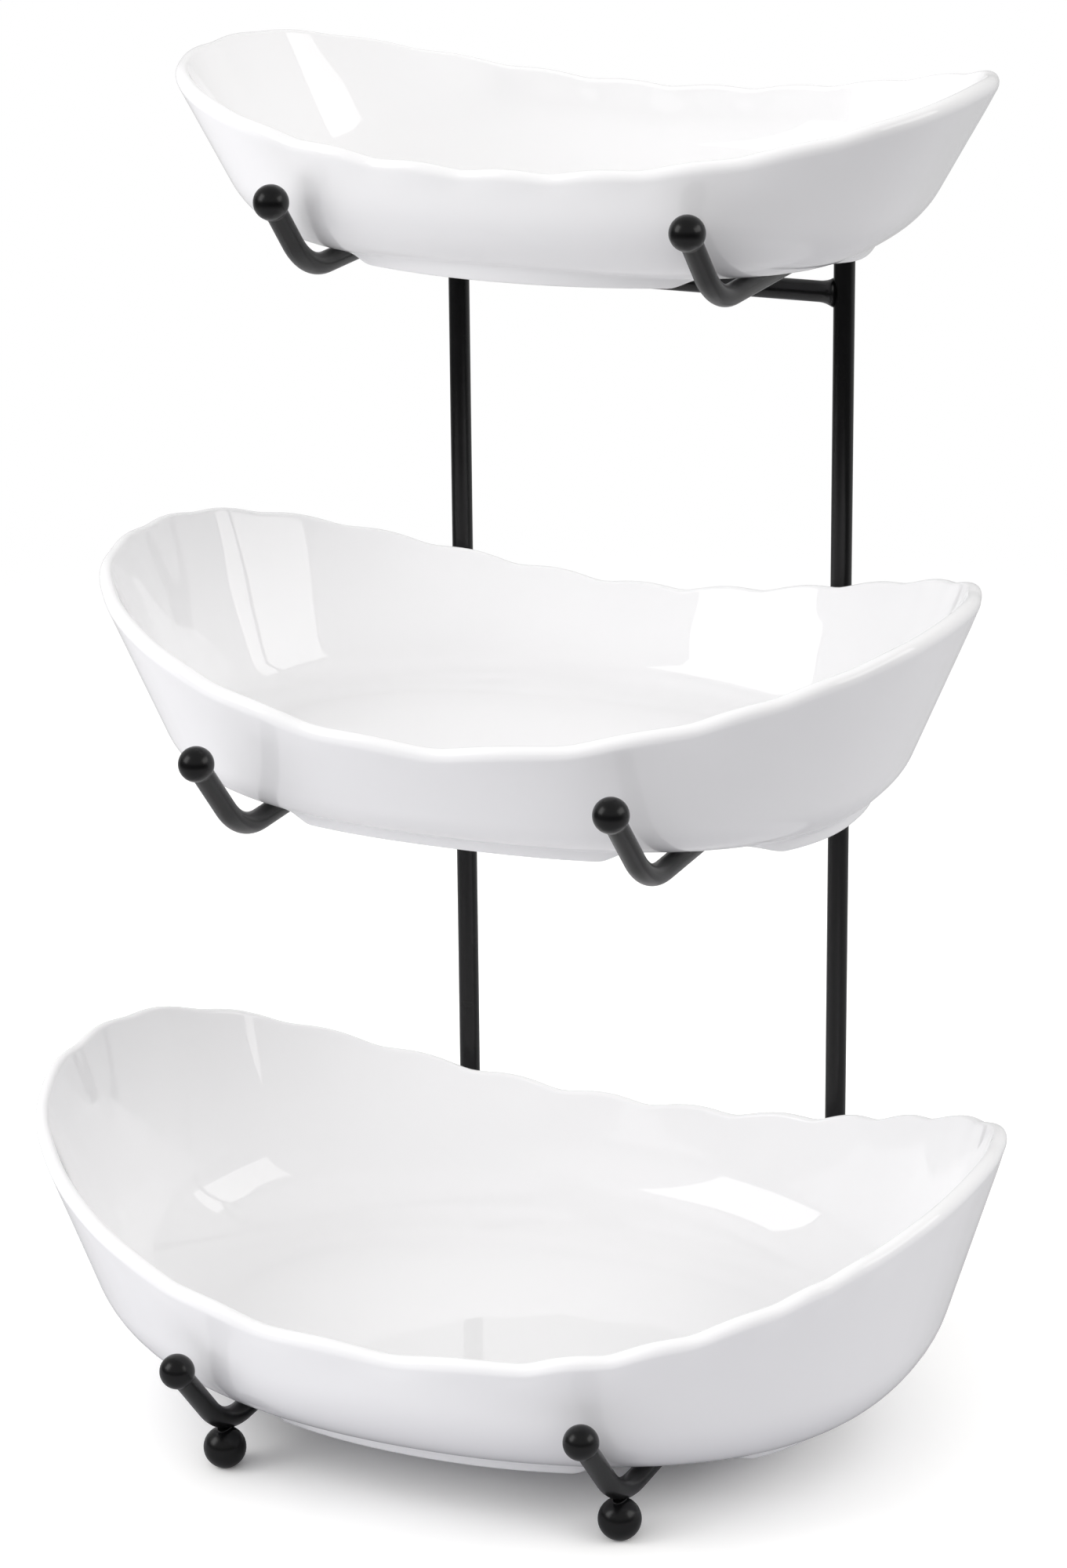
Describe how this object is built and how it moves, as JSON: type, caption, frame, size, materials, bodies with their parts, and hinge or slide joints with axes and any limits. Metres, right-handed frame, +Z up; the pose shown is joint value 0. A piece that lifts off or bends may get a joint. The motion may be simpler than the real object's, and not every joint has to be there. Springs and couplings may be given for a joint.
{
  "type": "tiered fruit bowl rack",
  "caption": "Welded round-wire stand with stepped arms that carries loose oval porcelain bowls, the widest at the foot.",
  "frame": {"origin": "on the floor, at the middle of the area that the whole object covers", "axes": "+Z up, +X to the right along the bowls' length as seen from the front, -Y the front, where the arms' ball ends point"},
  "size_m": [0.3268, 0.2688, 0.4443],
  "materials": {
    "black_steel": "satin black powder coat",
    "white_glaze": "glossy white glaze"
  },
  "bodies": {
    "stand": {"left_post": "black_steel", "right_post": "black_steel", "bottom_crossbar": "black_steel", "middle_crossbar": "black_steel", "top_crossbar": "black_steel", "bottom_left_arm": "black_steel", "bottom_right_arm": "black_steel", "middle_left_arm": "black_steel", "middle_right_arm": "black_steel", "top_left_arm": "black_steel", "top_right_arm": "black_steel", "bottom_left_arm_ball": "black_steel", "bottom_right_arm_ball": "black_steel", "middle_left_arm_ball": "black_steel", "middle_right_arm_ball": "black_steel", "top_left_arm_ball": "black_steel", "top_right_arm_ball": "black_steel", "front_left_foot": "black_steel", "front_right_foot": "black_steel", "rear_left_foot": "black_steel", "rear_right_foot": "black_steel"},
    "lower_dish": {"bottom_bowl": "white_glaze"},
    "middle_dish": {"middle_bowl": "white_glaze"},
    "upper_dish": {"top_bowl": "white_glaze"}
  },
  "joints": [
    {"name": "lift_bottom_bowl", "type": "slide", "parent": "stand", "child": "lower_dish", "axis": [0, 0, 1], "range_m": [0, 0.1]},
    {"name": "lift_middle_bowl", "type": "slide", "parent": "stand", "child": "middle_dish", "axis": [0, 0, 1], "range_m": [0, 0.085]},
    {"name": "lift_top_bowl", "type": "slide", "parent": "stand", "child": "upper_dish", "axis": [0, 0, 1], "range_m": [0, 0.12]}
  ]
}
